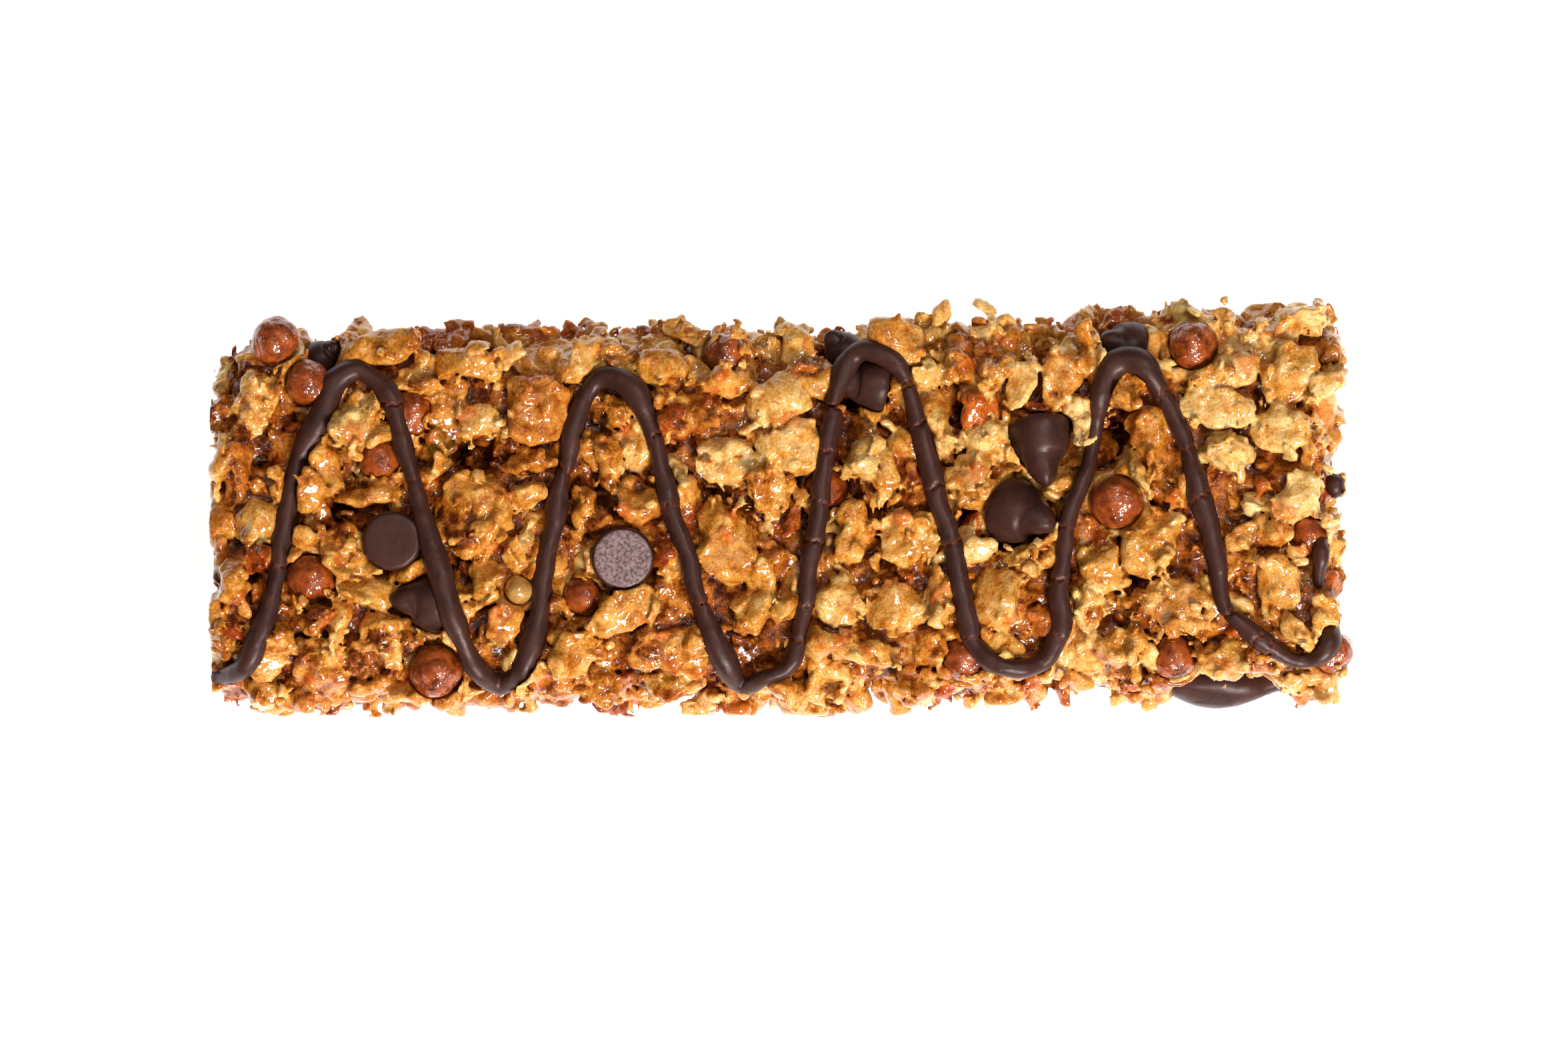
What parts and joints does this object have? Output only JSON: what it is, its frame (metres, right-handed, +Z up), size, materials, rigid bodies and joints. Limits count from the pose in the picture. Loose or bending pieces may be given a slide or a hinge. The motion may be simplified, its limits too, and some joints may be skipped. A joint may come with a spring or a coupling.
{
  "type": "granola bar",
  "caption": "Cut granola bar of glazed puffed flakes on a thin chocolate coat, with chocolate chips, round cocoa crisps and a zigzag chocolate drizzle on top.",
  "frame": {"origin": "on the flat underside of the chocolate coat, under the middle of the whole bar", "axes": "+X along the bar to its right end, +Y to its back edge, +Z up through its thickness"},
  "size_m": [0.1001, 0.0368, 0.0187],
  "materials": {
    "granola": "glazed, uneven",
    "chocolate_coat": "satin",
    "chocolate_chip": "satin",
    "cocoa_crisp": "glazed",
    "amber_bead": "glazed"
  },
  "bodies": {
    "root": {"chip_left_disc": "chocolate_chip", "chip_under_drizzle": "chocolate_chip", "chip_pale_disc": "chocolate_chip", "chip_under_loop": "chocolate_chip", "chip_back_middle": "chocolate_chip", "chip_pair_upper": "chocolate_chip", "chip_pair_lower": "chocolate_chip", "chip_back_right": "chocolate_chip", "chip_back_left": "chocolate_chip", "ball_back_corner": "cocoa_crisp", "ball_left_top": "cocoa_crisp", "ball_by_left_loop": "cocoa_crisp", "ball_left_middle": "cocoa_crisp", "ball_left_front": "cocoa_crisp", "ball_front_edge": "cocoa_crisp", "ball_by_pale_disc": "cocoa_crisp", "ball_back_middle": "cocoa_crisp", "ball_under_leg": "cocoa_crisp", "ball_glossy": "cocoa_crisp", "ball_back_right": "cocoa_crisp", "ball_front_right": "cocoa_crisp", "ball_right_end": "cocoa_crisp", "ball_front_corner": "cocoa_crisp", "ball_under_bottom_loop": "cocoa_crisp", "amber_bead": "amber_bead", "chocolate_base": "chocolate_coat", "granola_mass": "granola"}
  },
  "joints": []
}
